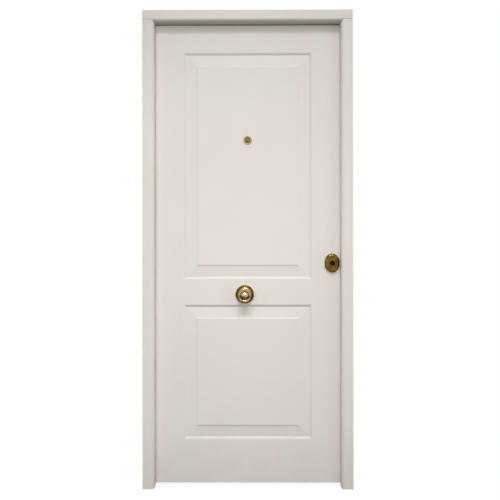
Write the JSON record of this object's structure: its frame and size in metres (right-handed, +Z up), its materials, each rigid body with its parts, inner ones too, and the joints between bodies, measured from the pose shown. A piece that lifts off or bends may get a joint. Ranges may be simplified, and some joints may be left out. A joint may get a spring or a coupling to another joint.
{
  "type": "front door",
  "caption": "Lacquered front door with raised-field panels in a rounded frame, opening inward on butt hinges, with a pull knob, peephole, latch and key-thrown bolts.",
  "frame": {"origin": "on the floor, at the middle of the frame's width and of the leaf's thickness", "axes": "+X to the right seen from outside, +Y into the house, +Z up"},
  "size_m": [0.916, 0.166, 2.083],
  "materials": {
    "white_lacquer": "satin",
    "core_timber": "raw",
    "sheet_steel": "galvanised",
    "seal_rubber": "matte",
    "lens_glass": "polished",
    "black_steel": "satin",
    "nickel": "satin",
    "brass": "polished",
    "zinc_steel": "plated"
  },
  "bodies": {
    "frame": {"hinge_jamb": "white_lacquer", "lock_jamb": "white_lacquer", "frame_head": "white_lacquer", "frame_seal": "seal_rubber", "frame_corner_screws": "zinc_steel", "strike_plate": "brass", "strike_plate_screws": "brass", "hinge_frame_plate_top": "brass", "hinge_frame_plate_middle": "brass", "hinge_frame_plate_bottom": "brass", "hinge_pin_top": "brass", "hinge_pin_middle": "brass", "hinge_pin_bottom": "brass", "hinge_frame_screws": "brass", "anti_lever_sockets": "zinc_steel"},
    "leaf": {"outer_board": "white_lacquer", "inner_board": "white_lacquer", "outer_steel_sheet": "sheet_steel", "inner_steel_sheet": "sheet_steel", "hinge_stile": "core_timber", "lock_stile": "core_timber", "top_rail": "core_timber", "bottom_rail": "core_timber", "core_board": "core_timber", "hinge_leaf_plate_top": "brass", "hinge_leaf_plate_middle": "brass", "hinge_leaf_plate_bottom": "brass", "hinge_leaf_screws": "brass", "anti_lever_pins": "zinc_steel", "lock_case": "zinc_steel", "lock_case_cover": "zinc_steel", "lock_forend": "brass", "forend_screws": "brass", "cylinder_body": "nickel", "cylinder_screw": "zinc_steel", "outer_escutcheon": "brass", "inner_escutcheon": "brass", "escutcheon_screws": "brass", "knob_rosette": "brass", "door_knob": "brass", "knob_stud": "zinc_steel", "knob_anchor": "zinc_steel", "lever_rosette": "brass", "peephole_barrel": "brass", "peephole_lens": "lens_glass", "peephole_eyepiece": "brass", "peephole_pivot": "brass", "latch_spring": "zinc_steel"},
    "lever": {"lever_handle": "brass", "lever_spindle": "zinc_steel", "lock_follower": "zinc_steel"},
    "latch": {"latch_bolt": "zinc_steel"},
    "key": {"cylinder_plug": "nickel", "cylinder_cam": "zinc_steel", "key_shield": "black_steel", "thumbturn": "brass"},
    "bolts": {"lock_bolts": "zinc_steel", "bolt_carriage": "zinc_steel"},
    "eyepiece_cover": {"peephole_cover": "brass"}
  },
  "joints": [
    {"name": "door_swing", "type": "hinge", "parent": "frame", "child": "leaf", "pos_m": [-0.417, 0.034, 1.025], "axis": [0, 0, 1], "range_deg": [0, 110]},
    {"name": "lever_turn", "type": "hinge", "parent": "leaf", "child": "lever", "pos_m": [0.372, 0.034, 1.064], "axis": [0, -1, 0], "range_deg": [0, 40], "stiffness_Nm_per_rad": 1.2, "springref_deg": -28.65},
    {"name": "latch_slide", "type": "slide", "parent": "leaf", "child": "latch", "axis": [-1, 0, 0], "range_m": [0, 0.0115], "deforming": ["latch_spring"]},
    {"name": "key_turn", "type": "hinge", "parent": "leaf", "child": "key", "pos_m": [0.372, 0, 0.979], "axis": [0, 1, 0], "range_deg": [0, 360]},
    {"name": "bolt_slide", "type": "slide", "parent": "leaf", "child": "bolts", "axis": [1, 0, 0], "range_m": [0, 0.02]},
    {"name": "cover_swing", "type": "hinge", "parent": "leaf", "child": "eyepiece_cover", "pos_m": [0, 0.0297, 1.5335], "axis": [0, 1, 0], "range_deg": [0, 120]}
  ],
  "couplings": [
    {"joint": "latch_slide", "follows": "lever_turn", "m_per_rad": 0.01647},
    {"joint": "key_turn", "follows": "bolt_slide", "rad_per_m": 314.16}
  ]
}
